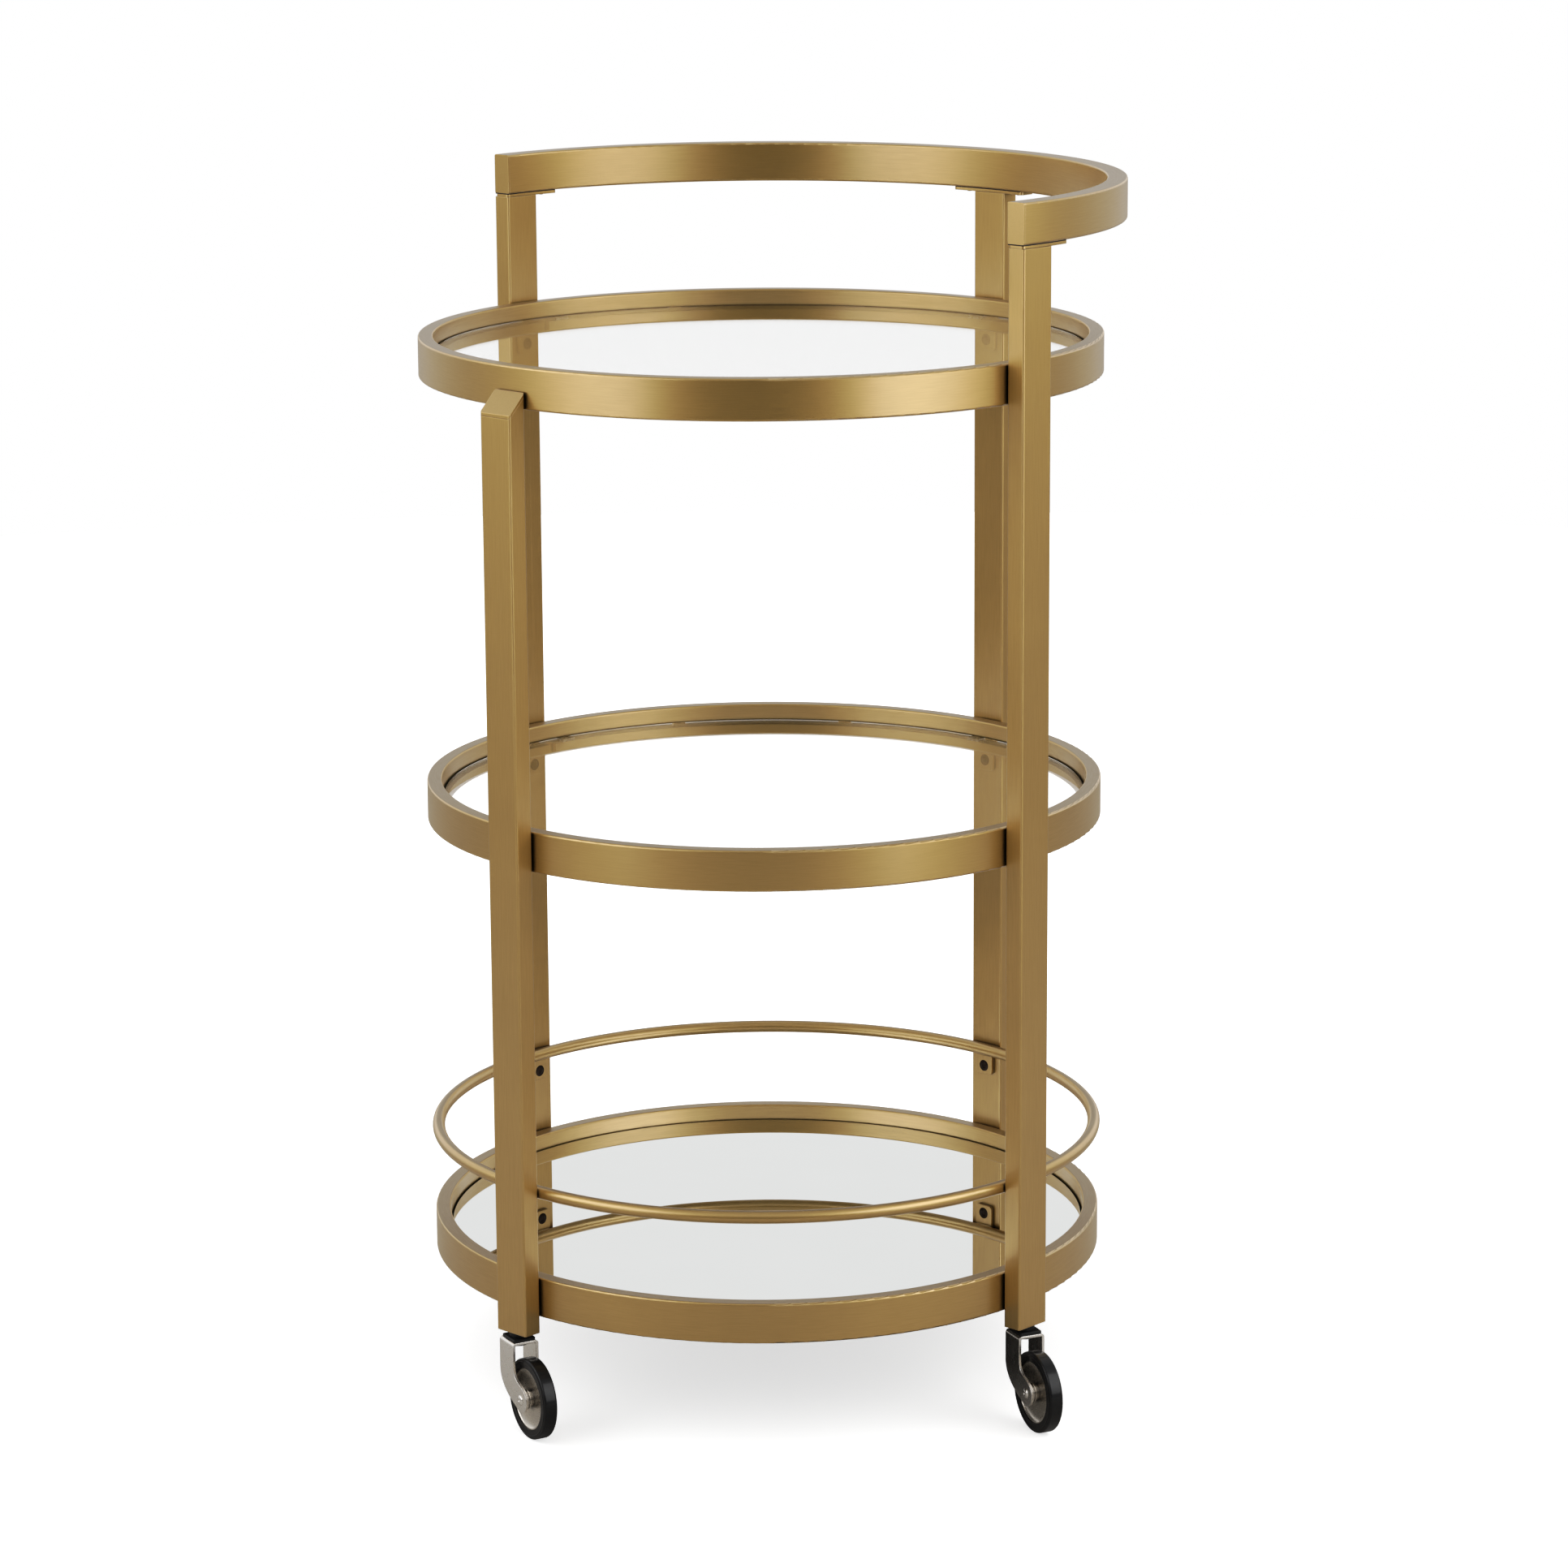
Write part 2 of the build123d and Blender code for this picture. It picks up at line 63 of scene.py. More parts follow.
def wire(tree, value, socket):
    """Feed a socket from another socket, or set it to a plain value."""
    if isinstance(value, bpy.types.NodeSocket):
        tree.links.new(value, socket)
    else:
        socket.default_value = value


def maths(tree, operation, first, second=0.0):
    """One arithmetic step between sockets or numbers."""
    node = tree.nodes.new("ShaderNodeMath")
    node.operation = operation
    wire(tree, first, node.inputs[0])
    wire(tree, second, node.inputs[1])
    return node.outputs[0]


def remap(tree, value, before, after):
    """Ease a value from the range before to the range after, held at both ends."""
    node = tree.nodes.new("ShaderNodeMapRange")
    node.interpolation_type = "SMOOTHSTEP"
    for socket, bound in zip(node.inputs, (value, *before, *after)):
        wire(tree, bound, socket)
    return node.outputs["Result"]


def noise(tree, vector, scale, detail=2.0, w=None):
    """Noise around 0.5, in three dimensions, or in four when w is given."""
    node = tree.nodes.new("ShaderNodeTexNoise")
    if w is not None:
        node.noise_dimensions = "4D"
        wire(tree, w, node.inputs["W"])
    wire(tree, vector, node.inputs["Vector"])
    node.inputs["Scale"].default_value = scale
    node.inputs["Detail"].default_value = detail
    return node.outputs["Fac"]


def mix_colour(tree, factor, first, second):
    """The first colour at factor 0, the second at factor 1."""
    node = tree.nodes.new("ShaderNodeMix")
    node.data_type = "RGBA"
    wire(tree, factor, node.inputs["Factor"])
    wire(tree, first, node.inputs["A"])
    wire(tree, second, node.inputs["B"])
    return node.outputs["Result"]


def place(tree):
    """Position in the cart's own frame, in metres."""
    return tree.nodes.new("ShaderNodeTexCoord").outputs["Object"]


def components(tree, vector):
    """The x, y and z parts of a vector."""
    split = tree.nodes.new("ShaderNodeSeparateXYZ")
    tree.links.new(vector, split.inputs[0])
    return split.outputs


def facing_up(tree):
    """Height part of the surface normal: 1 on top faces, -1 underneath."""
    geometry = tree.nodes.new("ShaderNodeNewGeometry")
    return components(tree, geometry.outputs["True Normal"])["Z"]


def stretched(tree, vector, scale):
    """A vector scaled by its own amount in each direction."""
    node = tree.nodes.new("ShaderNodeVectorMath")
    node.operation = "MULTIPLY"
    wire(tree, vector, node.inputs[0])
    node.inputs[1].default_value = scale
    return node.outputs["Vector"]


def rounded(tree, radius):
    """The surface normal, with its sharp edges rounded to a radius in metres."""
    node = tree.nodes.new("ShaderNodeBevel")
    node.samples = EDGE_SAMPLES
    node.inputs["Radius"].default_value = radius
    return node.outputs["Normal"]


def bump(tree, height, distance, strength, normal=None):
    """A surface normal with fine relief, over a rounded normal when one is given."""
    node = tree.nodes.new("ShaderNodeBump")
    node.inputs["Strength"].default_value = strength
    node.inputs["Distance"].default_value = distance
    tree.links.new(height, node.inputs["Height"])
    if normal is not None:
        tree.links.new(normal, node.inputs["Normal"])
    return node.outputs["Normal"]


def at_edges(tree, normal):
    """1 along sharp edges, where the rounded normal leaves the true one, else 0."""
    true_normal = tree.nodes.new("ShaderNodeNewGeometry").outputs["True Normal"]
    node = tree.nodes.new("ShaderNodeVectorMath")
    node.operation = "DOT_PRODUCT"
    tree.links.new(normal, node.inputs[0])
    tree.links.new(true_normal, node.inputs[1])
    return remap(tree, node.outputs["Value"], (0.90, 0.99), (1.0, 0.0))


def in_crevices(tree, reach, own_only=False):
    """1 deep in a gap or corner narrower than the reach, else 0; own_only leaves
    out the gaps to other pieces, for pieces that move past one another."""
    node = tree.nodes.new("ShaderNodeAmbientOcclusion")
    node.samples = EDGE_SAMPLES
    node.only_local = own_only
    node.inputs["Distance"].default_value = reach
    return remap(tree, node.outputs["AO"], (0.32, 0.82), (1.0, 0.0))


def around_axis(tree, along, across):
    """Coordinates that run with a ring: slow along it, fine across its section."""
    x, y, z = components(tree, place(tree))
    x_squared = maths(tree, "MULTIPLY", x, x)
    y_squared = maths(tree, "MULTIPLY", y, y)
    radius = maths(tree, "SQRT", maths(tree, "ADD", x_squared, y_squared))
    combine = tree.nodes.new("ShaderNodeCombineXYZ")
    for flat, socket in ((x, combine.inputs[0]), (y, combine.inputs[1])):
        wire(tree, maths(tree, "MULTIPLY", maths(tree, "DIVIDE", flat, radius), along), socket)
    wire(tree, maths(tree, "MULTIPLY", z, across), combine.inputs[2])
    return combine.outputs[0], maths(tree, "MULTIPLY", radius, across)


# ------------------------------------------------------------------ materials
# Colours are linear red, green, blue and alpha.
WHITE = (1, 1, 1, 1)

# brushed brass: how fine the grain is across the tube and how slow along it
GRAIN_ACROSS = 2600.0
GRAIN_ALONG_POST = 55.0
GRAIN_ALONG_RING = 14.0
BRASS = ((0.520, 0.352, 0.126, 1), (0.585, 0.400, 0.147, 1))
TARNISH = (0.40, 0.256, 0.075, 1)
TARNISH_SHARE = 0.18
# worn lacquer along the edges, lightened also as a painted highlight on the corners
WORN_BRASS_AND_EDGE_HIGHLIGHT = (0.80, 0.60, 0.33, 1)
# painted shade: top faces painted darker and greyer
TOP_FACE_SHADE = (0.22, 0.17, 0.11, 1)
TOP_FACE_SHADE_SHARE = 0.8
# painted shade in gaps and corners, also between separate parts
GAP_SHADE = (0.030, 0.018, 0.008, 1)
GAP_SHADE_SHARE = 0.9
GAP_SHADE_GAP = 0.0025
LACQUER_LOST_ON_TOP = 0.6

# glass and mirror: the cut edges are green, the back of the mirror is painted
GLASS_TINT = (0.985, 0.995, 0.992, 1)
GLASS_EDGE = ((0.30, 0.46, 0.38, 1), (0.36, 0.52, 0.43, 1))
SILVER = ((0.725, 0.738, 0.730, 1), (0.75, 0.76, 0.752, 1))
MIRROR_EDGE = ((0.20, 0.32, 0.27, 1), (0.25, 0.38, 0.32, 1))
MIRROR_PAINT = ((0.19, 0.19, 0.185, 1), (0.24, 0.24, 0.235, 1))
UNPOLISHED = 0.45

# nickel: the fork's plate, the duller wheel disc, and the painted shade in their corners, on the disc
# also the fork's painted shadow
FORK_NICKEL = ((0.86, 0.83, 0.79, 1), (0.89, 0.86, 0.82, 1))
FORK_CORNER_SHADE = (0.05, 0.046, 0.042, 1)
FORK_GAP = 0.0022
DISC_NICKEL = ((0.70, 0.655, 0.595, 1), (0.80, 0.755, 0.69, 1))
DISC_PAINTED_SHADE = (0.06, 0.052, 0.045, 1)
DISC_GAP = 0.0045
NICKEL_SHADE_SHARE = 0.85


def satin_gold(name, rolled, roughness):
    """Brushed antique brass under satin lacquer; its grain follows the tube."""
    material, tree, shader = new_material(name)
    if rolled:
        vector, w = around_axis(tree, GRAIN_ALONG_RING, GRAIN_ACROSS)
        grain = noise(tree, vector, scale=1.0, detail=3.0, w=w)
    else:
        upright = stretched(tree, place(tree), (GRAIN_ACROSS, GRAIN_ACROSS, GRAIN_ALONG_POST))
        grain = noise(tree, upright, scale=1.0, detail=3.0)
    cloud = noise(tree, place(tree), scale=26.0, detail=4.0)
    smooth = rounded(tree, 0.0007)
    tone = mix_colour(tree, cloud, *BRASS)
    tarnish = remap(tree, grain, (0.35, 0.65), (0.0, TARNISH_SHARE))
    tone = mix_colour(tree, tarnish, tone, TARNISH)
    patches = remap(tree, cloud, (0.35, 0.6), (0.3, 0.8))
    # edges lightened: worn lacquer and a painted highlight along the corners
    tone = mix_colour(tree, maths(tree, "MULTIPLY", at_edges(tree, smooth), patches), tone, WORN_BRASS_AND_EDGE_HIGHLIGHT)
    upper = remap(tree, facing_up(tree), (0.85, 0.98), (0.0, 1.0))
    # painted shade: top faces darker and greyer
    tone = mix_colour(tree, maths(tree, "MULTIPLY", upper, TOP_FACE_SHADE_SHARE), tone, TOP_FACE_SHADE)
    # painted shade darkens the gaps and corners
    gap_shade = maths(tree, "MULTIPLY", in_crevices(tree, GAP_SHADE_GAP), GAP_SHADE_SHARE)
    wire(tree, mix_colour(tree, gap_shade, tone, GAP_SHADE), shader.inputs["Base Color"])
    shader.inputs["Metallic"].default_value = 1.0
    wire(tree, remap(tree, grain, NOISE_SPREAD, roughness), shader.inputs["Roughness"])
    bare = maths(tree, "MULTIPLY", upper, LACQUER_LOST_ON_TOP)
    wire(tree, maths(tree, "SUBTRACT", 1.0, bare), shader.inputs["Coat Weight"])
    shader.inputs["Coat Roughness"].default_value = 0.28
    shader.inputs["Coat IOR"].default_value = 1.85
    wire(tree, bump(tree, grain, 0.00002, 0.25, smooth), shader.inputs["Normal"])
    return material


def clear_glass():
    """Float glass: clear through its faces, faintly tinted along its depth."""
    material, tree, shader = new_material("clear_glass")
    ripple = noise(tree, place(tree), scale=9.0, detail=1.0)
    face = mix_colour(tree, ripple, GLASS_TINT, WHITE)
    edge = mix_colour(tree, ripple, *GLASS_EDGE)
    flat = remap(tree, maths(tree, "ABSOLUTE", facing_up(tree)), (0.2, 0.8), (0.0, 1.0))
    wire(tree, mix_colour(tree, flat, edge, face), shader.inputs["Base Color"])
    shader.inputs["Roughness"].default_value = 0.0
    shader.inputs["IOR"].default_value = 1.5
    shader.inputs["Transmission Weight"].default_value = 1.0
    return material


def mirror_silver():
    """Silvered pane: mirror above, green at the cut edge, grey paint behind."""
    material, tree, shader = new_material("mirror_silver")
    haze = noise(tree, place(tree), scale=18.0, detail=3.0)
    fleck = noise(tree, place(tree), scale=700.0)
    up = facing_up(tree)
    is_face = remap(tree, up, (0.70, 0.85), (0.0, 1.0))
    is_back = remap(tree, up, (-0.85, -0.70), (1.0, 0.0))
    edge = mix_colour(tree, haze, *MIRROR_EDGE)
    behind = mix_colour(tree, is_back, edge, mix_colour(tree, fleck, *MIRROR_PAINT))
    bright = mix_colour(tree, haze, *SILVER)
    wire(tree, mix_colour(tree, is_face, behind, bright), shader.inputs["Base Color"])
    wire(tree, is_face, shader.inputs["Metallic"])
    polish = maths(tree, "MULTIPLY", is_face, UNPOLISHED)
    wire(tree, maths(tree, "SUBTRACT", UNPOLISHED, polish), shader.inputs["Roughness"])
    return material


def speckled(name, scale, detail, tones, roughness, relief=None):
    """A plain finish whose tone and gloss vary with one fine noise."""
    material, tree, shader = new_material(name)
    speck = noise(tree, place(tree), scale, detail)
    wire(tree, mix_colour(tree, speck, *tones), shader.inputs["Base Color"])
    wire(tree, remap(tree, speck, NOISE_SPREAD, roughness), shader.inputs["Roughness"])
    if relief is not None:
        wire(tree, bump(tree, speck, *relief), shader.inputs["Normal"])
    return material, shader


def clear_silicone():
    """Soft bumper pads, slightly cloudy."""
    material, shader = speckled(
        "clear_silicone", scale=400.0, detail=3.0,
        tones=((0.86, 0.88, 0.88, 1), (0.95, 0.96, 0.96, 1)), roughness=(0.22, 0.38))
    shader.inputs["IOR"].default_value = 1.41
    shader.inputs["Transmission Weight"].default_value = 0.75
    return material


def dark_screw():
    """Black-bronze plated steel."""
    material, shader = speckled(
        "dark_screw", scale=900.0, detail=3.0,
        tones=((0.020, 0.013, 0.010, 1), (0.055, 0.038, 0.028, 1)), roughness=(0.32, 0.48),
        relief=(0.00003, 0.3))
    shader.inputs["Metallic"].default_value = 0.8
    return material


def zinc_steel():
    """Bright zinc plate, faintly spangled."""
    material, shader = speckled(
        "zinc_steel", scale=500.0, detail=2.0,
        tones=((0.46, 0.47, 0.48, 1), (0.60, 0.61, 0.62, 1)), roughness=(0.28, 0.42))
    shader.inputs["Metallic"].default_value = 1.0
    return material


def black_nylon():
    """Pebbled moulded plastic."""
    material, _ = speckled(
        "black_nylon", scale=2200.0, detail=2.0,
        tones=((0.010, 0.010, 0.011, 1), (0.020, 0.020, 0.021, 1)), roughness=(0.36, 0.5),
        relief=(0.00004, 0.3))
    return material


def black_rubber():
    """Dense black rubber with a faint shine."""
    material, shader = speckled(
        "black_rubber", scale=1800.0, detail=3.0,
        tones=((0.006, 0.006, 0.007, 1), (0.012, 0.012, 0.013, 1)), roughness=(0.34, 0.46),
        relief=(0.00005, 0.35))
    shader.inputs["Specular IOR Level"].default_value = 0.35
    shader.inputs["Coat Weight"].default_value = 0.5
    shader.inputs["Coat Roughness"].default_value = 0.12
    shader.inputs["Coat IOR"].default_value = 1.45
    return material


def plated_nickel(name, scale, detail, tones, painted_shade, crevices, roughness, relief, edge_radius):
    """Nickel plate with rounded edges and painted shade; crevices is a function of the tree
    that says where the painted shade falls."""
    material, tree, shader = new_material(name)
    wave = noise(tree, place(tree), scale, detail)
    # painted shade in corners and gaps
    shade_mask = maths(tree, "MULTIPLY", crevices(tree), NICKEL_SHADE_SHARE)
    tone = mix_colour(tree, wave, *tones)
    wire(tree, mix_colour(tree, shade_mask, tone, painted_shade), shader.inputs["Base Color"])
    shader.inputs["Metallic"].default_value = 1.0
    wire(tree, remap(tree, wave, NOISE_SPREAD, roughness), shader.inputs["Roughness"])
    wire(tree, bump(tree, wave, *relief, rounded(tree, edge_radius)), shader.inputs["Normal"])
    return material


def bright_nickel():
    """Stamped and barrel-polished plate of the forks, with faint waviness."""
    return plated_nickel(
        "bright_nickel", scale=120.0, detail=2.0, tones=FORK_NICKEL, painted_shade=FORK_CORNER_SHADE,
        crevices=lambda tree: in_crevices(tree, FORK_GAP, own_only=True),
        roughness=(0.25, 0.29), relief=(0.0001, 0.05), edge_radius=0.0006)


def spun_nickel():
    """Satin nickel of the wheel discs."""
    return plated_nickel(
        "spun_nickel", scale=1500.0, detail=3.0, tones=DISC_NICKEL, painted_shade=DISC_PAINTED_SHADE,
        # painted shade on the disc takes in the fork's painted shadow
        crevices=lambda tree: in_crevices(tree, DISC_GAP),
        roughness=(0.26, 0.34), relief=(0.00003, 0.2), edge_radius=0.0004)


gold_upright = satin_gold("satin_gold_upright", rolled=False, roughness=(0.44, 0.52))
gold_rolled = satin_gold("satin_gold_rolled", rolled=True, roughness=(0.41, 0.48))
glass = clear_glass()
silver = mirror_silver()
silicone = clear_silicone()
screw_black = dark_screw()
zinc = zinc_steel()
nylon = black_nylon()
nickel = bright_nickel()
disc_nickel = spun_nickel()
rubber = black_rubber()

FINISH_BY_START = {
    "post_foot_plugs": zinc,
    "post_": gold_upright,
    "short_post_cap": gold_upright,
    "handle_screws": screw_black,
    "handle_plate_": gold_upright,
    "handle_": gold_rolled,
    "bumper_pads": silicone,
    "bottom_mirror": silver,
    "rivet_nuts": zinc,
    "caster_stem_": zinc,
    "caster_collar_": nylon,
    "caster_fork_": nickel,
    "swivel_cover_": nylon,
    "wheel_axle_": nickel,
    "wheel_hub_": disc_nickel,
    "tyre_": rubber,
}
FINISH_BY_END = {
    "_ring": gold_rolled,
    "_ledge": gold_rolled,
    "_rail": gold_rolled,
    "_tabs": gold_upright,
    "_glass": glass,
    "_screws": screw_black,
}


def finish_of(name):
    """The material of a CAD node, by the start of its name, then by its end."""
    for start, material in FINISH_BY_START.items():
        if name.startswith(start):
            return material
    for end, material in FINISH_BY_END.items():
        if name.endswith(end):
            return material
    raise ValueError(f"no finish for {name}")


for node_name, node in frame["nodes"].items():
    for material_slot in node.material_slots:
        material_slot.material = finish_of(node_name)


# --------------------------------------------------------------- detail pieces
# Weld beads, a dark strip of painted shade under the handle, washers and ribs that the CAD leaves out,
# in the CAD's sizes.
POST_AZIMUTHS = (45.0, 135.0, 225.0, 315.0)
SHELF_TOPS = (0.0984, 0.3819, 0.6654)
RING_HEIGHT = 0.0254
RING_INNER = 0.2052
LEDGE_FOOT = 0.0233
TAB_INNER = 0.2134
TAB_HALF_WIDTH = 0.0070
RAIL_Z = 0.1528
RAIL_TOUCH = 0.0037

# weld beads: look-ahead is a share of the length, ripple and tip of the girth;
# a tab bead's share is of the tab's half-width
BEAD_SIDES = 10
BEAD_STEPS = 40
BEAD_LOOK_AHEAD = 0.02
BEAD_RIPPLE = 0.14
BEAD_TIP = 0.04
BEAD_TAPER_POWER = 5
TAB_BEAD_SHARE = 0.9
TACKS_PER_RING = 8
TACK_LENGTH = 0.014

# handle shade strips, a dark piece put where there is only shade: azimuth of the post, then how far
# the strip runs to each side of it
HANDLE_BOTTOM = 0.7366
SHADE_STRIP_HALF = 0.00035
SHADE_STRIP_INNER = 0.21632
SHADE_STRIP_OUTER = 0.22818
SHADE_STRIP_ROUNDING = 0.00008
SHADE_STRIP_SPANS = ((315.0, -0.0128, 0.0280), (45.0, -0.0280, 0.0280), (135.0, -0.0280, 0.0128))

# wheels: closed profiles of (radius, distance from the wheel's middle)
LATHE_STEPS = 96
WASHER = ((0.0050, 0.0040), (0.0060, 0.0040), (0.0063, 0.0043), (0.0063, 0.0047),
          (0.0060, 0.0050), (0.0056, 0.0051), (0.0055, 0.0054), (0.0055, 0.0060),
          (0.0053, 0.0063), (0.0050, 0.0063))
WALL_RIB = ((0.0228, 0.0042), (0.0236, 0.0042), (0.0237, 0.0045), (0.0236, 0.0046),
            (0.0228, 0.0046), (0.0227, 0.0045))


def add_piece(build, name, body, material):
    """Turn a finished bmesh into a smooth piece that rides on a CAD body."""
    bmesh.ops.recalc_face_normals(build, faces=build.faces)
    mesh = bpy.data.meshes.new(name)
    build.to_mesh(mesh)
    build.free()
    mesh.polygons.foreach_set("use_smooth", [True] * len(mesh.polygons))
    mesh.materials.append(material)
    piece = bpy.data.objects.new(name, mesh)
    bpy.context.scene.collection.objects.link(piece)
    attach(piece, body)


def loft(build, loops, closed):
    """Skin a series of vertex loops; a closed series joins its last to its first."""
    count = len(loops)
    for index in range(count if closed else count - 1):
        here = loops[index]
        there = loops[(index + 1) % count]
        for corner in range(len(here)):
            after = (corner + 1) % len(here)
            build.faces.new((here[corner], here[after], there[after], there[corner]))
    if not closed:
        build.faces.new(loops[0])
        build.faces.new(loops[-1])


def lathe(build, profile, centre, axis):
    """Turn a closed profile of (radius, offset along the axis) right round the axis."""
    side = axis.orthogonal().normalized()
    third = axis.cross(side)
    loops = []
    for step in range(LATHE_STEPS):
        angle = 2 * math.pi * step / LATHE_STEPS
        spoke = math.cos(angle) * side + math.sin(angle) * third
        loops.append([build.verts.new(centre + radius * spoke + offset * axis)
                      for radius, offset in profile])
    loft(build, loops, closed=True)


def bead(build, path, radius, ripples):
    """A weld bead along a path function of 0..1, rippled, with tapered ends."""
    turns = [2 * math.pi * index / BEAD_SIDES for index in range(BEAD_SIDES)]
    loops = []
    for step in range(BEAD_STEPS + 1):
        along = step / BEAD_STEPS
        ahead = path(min(along + BEAD_LOOK_AHEAD, 1.0))
        behind = path(max(along - BEAD_LOOK_AHEAD, 0.0))
        forward = (ahead - behind).normalized()
        side = forward.cross(Vector((0, 0, 1))).normalized()
        over = side.cross(forward)
        taper = max(1 - abs(2 * along - 1) ** BEAD_TAPER_POWER, BEAD_TIP) ** 0.5
        girth = radius * taper * (1 + BEAD_RIPPLE * math.sin(2 * math.pi * ripples * along))
        loops.append([build.verts.new(path(along)
                                      + girth * math.cos(turn) * side
                                      + girth * math.sin(turn) * over)
                      for turn in turns])
    loft(build, loops, closed=False)


def across_tab(azimuth, z):
    """Straight path along the joint between a post tab and what it carries."""
    angle = math.radians(azimuth)
    outward = Vector((math.cos(angle), math.sin(angle), 0))
    across = Vector((-math.sin(angle), math.cos(angle), 0))
    middle = TAB_INNER * outward + Vector((0, 0, z))
    half_length = TAB_HALF_WIDTH * TAB_BEAD_SHARE
    return lambda along: middle + half_length * (2 * along - 1) * across


def along_ring(azimuth, z, length):
    """Curved path along the corner between a ledge bar and its shelf ring."""
    def path(along):
        angle = math.radians(azimuth) + (along - 0.5) * length / RING_INNER
        return Vector((RING_INNER * math.cos(angle), RING_INNER * math.sin(angle), z))
    return path


def make_welds():
    """Beads on the gallery tabs and the shelf tabs, and tacks under the ledges."""
    build = bmesh.new()
    for azimuth in POST_AZIMUTHS:
        bead(build, across_tab(azimuth, RAIL_Z - RAIL_TOUCH), radius=0.0008, ripples=9)
    add_piece(build, "gallery_welds", "frame", gold_upright)
    build = bmesh.new()
    for top in SHELF_TOPS:
        for azimuth in POST_AZIMUTHS:
            bead(build, across_tab(azimuth, top - RING_HEIGHT), radius=0.0009, ripples=9)
    add_piece(build, "shelf_tab_welds", "frame", gold_upright)
    build = bmesh.new()
    for top in SHELF_TOPS:
        for tack in range(TACKS_PER_RING):
            azimuth = 360.0 / TACKS_PER_RING * (tack + 0.5)
            bead(build, along_ring(azimuth, top - LEDGE_FOOT, TACK_LENGTH), radius=0.0012, ripples=7)
    add_piece(build, "ledge_tack_welds", "frame", gold_upright)


def make_handle_shade_strips():
    """A thin dark strip of painted shade between the handle and its plates, seen as a line."""
    build = bmesh.new()
    low_edge = HANDLE_BOTTOM - SHADE_STRIP_HALF
    high_edge = HANDLE_BOTTOM + SHADE_STRIP_HALF
    section = ((SHADE_STRIP_INNER, low_edge), (SHADE_STRIP_OUTER, low_edge),
               (SHADE_STRIP_OUTER, high_edge), (SHADE_STRIP_INNER, high_edge))
    for azimuth, reach_low, reach_high in SHADE_STRIP_SPANS:
        loops = []
        for step in range(BEAD_STEPS + 1):
            offset = reach_low + (reach_high - reach_low) * step / BEAD_STEPS
            loop = []
            for radius, z in section:
                angle = math.radians(azimuth) + math.asin(offset / radius)
                corner = (radius * math.cos(angle), radius * math.sin(angle), z)
                loop.append(build.verts.new(corner))
            loops.append(loop)
        loft(build, loops, closed=False)
    bmesh.ops.bevel(build, geom=build.edges[:], offset=SHADE_STRIP_ROUNDING, segments=1, affect="EDGES")
    add_piece(build, "handle_shade_strips", "frame", nylon)


def make_wheel_details():
    """A stepped washer over each end of a hub and a moulded rib on each tyre wall."""
    joints = {joint["name"]: joint for joint in frame["joints"]}
    for caster in CASTERS:
        spin = joints[f"spin_{caster}"]
        centre = Vector(spin["pos_m"])
        axis = Vector(spin["axis"]).normalized()
        for kind, profile, slot_name, material in (
            ("hub_washers", WASHER, "polished_nickel", disc_nickel),
            ("tyre_ribs", WALL_RIB, "black_rubber", rubber),
        ):
            build = bmesh.new()
            for side in (-1, 1):
                lathe(build, profile, centre, side * axis)
            add_piece(build, f"{kind}_{caster}", f"wheel_{caster}", material)


make_welds()
make_handle_shade_strips()
make_wheel_details()


# ---------------------------------------------------------------------- stage
FLOOR_RADIUS = 3.2
FLOOR_STEPS = 96
PAPER = ((0.88, 0.88, 0.88, 1), (0.92, 0.92, 0.92, 1))
# the floor as the metals reflect it: shaded under the cart, grey further out
SHADED_FLOOR = (0.11, 0.105, 0.10, 1)
OPEN_FLOOR = (0.56, 0.54, 0.51, 1)
SHADE_ENDS = (0.11, 0.26)
GLOW_ENDS = (0.20, 0.9)
GLOW = (0.60, 1.02)
SHARP_MIRROR_WORLD = 0.95

# azimuth 0 is the camera's side; the front pair is turned and uneven as a pair
FRONT_AZIMUTH = 61.0
FRONT_TURN = -3.0
FRONT_POWER = 12.9
FRONT_UNEVENNESS = 1.1
BACK_AZIMUTH = 128.0

CAMERA_PLACE = (-0.0529, -3.0222, 1.0694)
CAMERA_YAW = 1.250
CAMERA_PITCH = 12.042
CAMERA_ROLL = -0.341
CAMERA_LENS = 111.39
SENSOR_WIDTH = 36.0
CAMERA_SHIFT = -0.05

# a gentle S over the linear values, as in a printed photograph
PRINT_CURVE = ((0.04, 0.020), (0.10, 0.067), (0.17, 0.138), (0.30, 0.305),
               (0.44, 0.46), (0.56, 0.59), (0.80, 0.815))
COMBINED_CURVE = 3


def seen_directly(tree):
    """1 for what the camera sees straight or through glass, 0 for all reflections."""
    rays = tree.nodes.new("ShaderNodeLightPath").outputs
    bounces = maths(tree, "ADD", rays["Glossy Depth"], rays["Diffuse Depth"])
    unbounced = maths(tree, "SUBTRACT", 1.0, maths(tree, "MINIMUM", bounces, 1.0))
    through_glass = maths(tree, "MULTIPLY", rays["Is Transmission Ray"], unbounced)
    return maths(tree, "MAXIMUM", rays["Is Camera Ray"], through_glass)


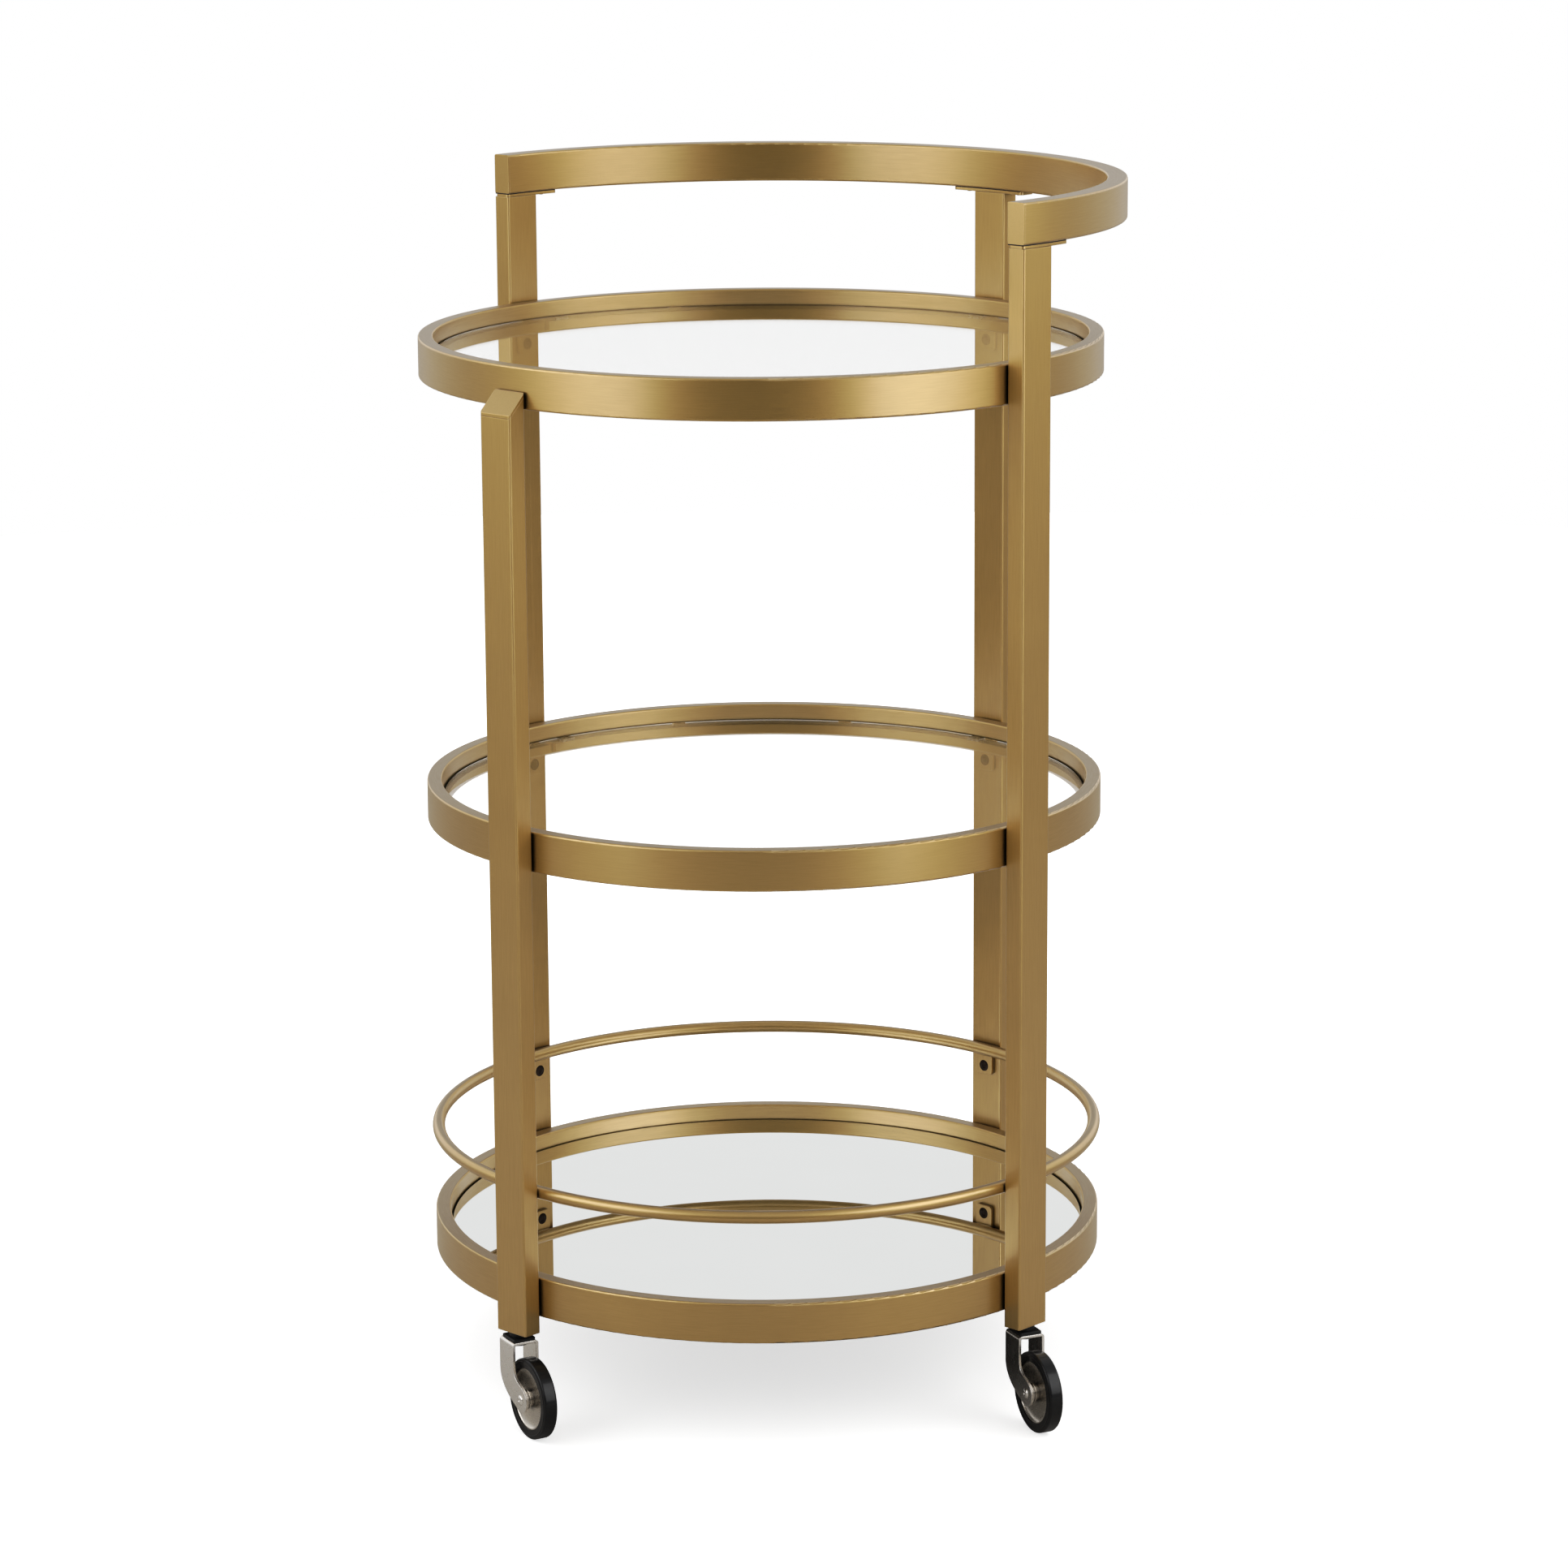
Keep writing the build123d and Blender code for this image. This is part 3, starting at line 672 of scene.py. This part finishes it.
def floor_material():
    """Pale paper floor; what the camera sees of it fades to the white beyond."""
    material, tree, shader = new_material("studio_floor")
    fibre = noise(tree, place(tree), scale=300.0, detail=3.0)
    seen = seen_directly(tree)
    paper = mix_colour(tree, fibre, *PAPER)
    length = tree.nodes.new("ShaderNodeVectorMath")
    length.operation = "LENGTH"
    tree.links.new(place(tree), length.inputs[0])
    from_centre = length.outputs["Value"]
    open_floor = remap(tree, from_centre, SHADE_ENDS, (0.0, 1.0))
    mirrored = mix_colour(tree, open_floor, SHADED_FLOOR, OPEN_FLOOR)
    wire(tree, mix_colour(tree, seen, mirrored, paper), shader.inputs["Base Color"])
    shader.inputs["Roughness"].default_value = 0.9
    shader.inputs["Specular IOR Level"].default_value = 0.0
    glow = remap(tree, from_centre, GLOW_ENDS, GLOW)
    shader.inputs["Emission Color"].default_value = WHITE
    wire(tree, maths(tree, "MULTIPLY", glow, seen), shader.inputs["Emission Strength"])
    return material


def make_floor():
    """A round sheet under the cart."""
    mesh = bpy.data.meshes.new("studio_floor")
    build = bmesh.new()
    bmesh.ops.create_circle(build, cap_ends=True, segments=FLOOR_STEPS, radius=FLOOR_RADIUS)
    build.to_mesh(mesh)
    build.free()
    floor = bpy.data.objects.new("studio_floor", mesh)
    bpy.context.scene.collection.objects.link(floor)
    mesh.materials.append(floor_material())


def studio_world():
    """White to the eye and in mirrors; in soft reflections, bright behind, dim in front."""
    world = bpy.data.worlds.new("studio")
    bpy.context.scene.world = world
    world.use_nodes = True
    tree = world.node_tree
    tree.nodes.clear()
    background = tree.nodes.new("ShaderNodeBackground")
    output = tree.nodes.new("ShaderNodeOutputWorld")
    tree.links.new(background.outputs[0], output.inputs["Surface"])
    direction = components(tree, tree.nodes.new("ShaderNodeTexCoord").outputs["Generated"])
    wall = remap(tree, direction["Y"], (-0.35, 0.65), (0.03, 0.82))
    above_floor = remap(tree, direction["Z"], (-0.08, 0.10), (0.50, 1.0))
    ceiling = remap(tree, direction["Z"], (0.05, 0.60), (0.0, 0.50))
    room = maths(tree, "MAXIMUM", maths(tree, "MULTIPLY", wall, above_floor), ceiling)
    rays = tree.nodes.new("ShaderNodeLightPath").outputs
    sharp = maths(tree, "MULTIPLY", rays["Is Singular Ray"], rays["Is Reflection Ray"])
    in_mirrors = maths(tree, "MULTIPLY", sharp, SHARP_MIRROR_WORLD)
    strength = maths(tree, "MAXIMUM", maths(tree, "MAXIMUM", room, in_mirrors), seen_directly(tree))
    wire(tree, strength, background.inputs["Strength"])
    background.inputs["Color"].default_value = WHITE


def softbox(name, azimuth, distance, width, height, centre_z, power):
    """An upright soft light that faces the cart."""
    data = bpy.data.lights.new(name, "AREA")
    data.shape = "RECTANGLE"
    data.size = width
    data.size_y = height
    data.energy = power
    lamp = bpy.data.objects.new(name, data)
    bpy.context.scene.collection.objects.link(lamp)
    angle = math.radians(azimuth)
    lamp.location = (distance * math.sin(angle), -distance * math.cos(angle), centre_z)
    aim = Vector((0, 0, centre_z)) - lamp.location
    lamp.rotation_euler = aim.to_track_quat("-Z", "Z").to_euler()
    lamp.visible_camera = False
    lamp.visible_transmission = False


def make_lights():
    """Two tall main lights ahead of the cart and two weak ones behind it."""
    for side in (-1, 1):
        softbox(f"front_softbox_{side}", azimuth=side * FRONT_AZIMUTH + FRONT_TURN, distance=1.5,
                width=1.15, height=1.94, centre_z=1.05, power=FRONT_POWER + side * FRONT_UNEVENNESS)
        softbox(f"back_softbox_{side}", azimuth=side * BACK_AZIMUTH, distance=1.8,
                width=1.2, height=1.9, centre_z=0.98, power=0.8)


def make_camera():
    """A long lens, a little above the cart and almost square to it."""
    yaw, pitch, roll = (math.radians(turn) for turn in (CAMERA_YAW, CAMERA_PITCH, CAMERA_ROLL))
    forward = Vector((math.sin(yaw) * math.cos(pitch), math.cos(yaw) * math.cos(pitch),
                      -math.sin(pitch)))
    level = Vector((math.cos(yaw), -math.sin(yaw), 0))
    upward = level.cross(forward)
    right = math.cos(roll) * level + math.sin(roll) * upward
    top = math.cos(roll) * upward - math.sin(roll) * level
    data = bpy.data.cameras.new("camera")
    data.lens = CAMERA_LENS
    data.sensor_width = SENSOR_WIDTH
    data.shift_y = CAMERA_SHIFT
    data.clip_end = 50.0
    camera = bpy.data.objects.new("camera", data)
    bpy.context.scene.collection.objects.link(camera)
    axes = Matrix((right, top, -forward)).transposed().to_4x4()
    camera.matrix_world = Matrix.Translation(CAMERA_PLACE) @ axes
    bpy.context.scene.camera = camera


def print_curve():
    """Give the picture the contrast of a print."""
    view = bpy.context.scene.view_settings
    view.view_transform = "Standard"
    view.use_curve_mapping = True
    points = view.curve_mapping.curves[COMBINED_CURVE].points
    for before, after in PRINT_CURVE:
        points.new(before, after)
    view.curve_mapping.update()


make_floor()
studio_world()
make_lights()
make_camera()
print_curve()
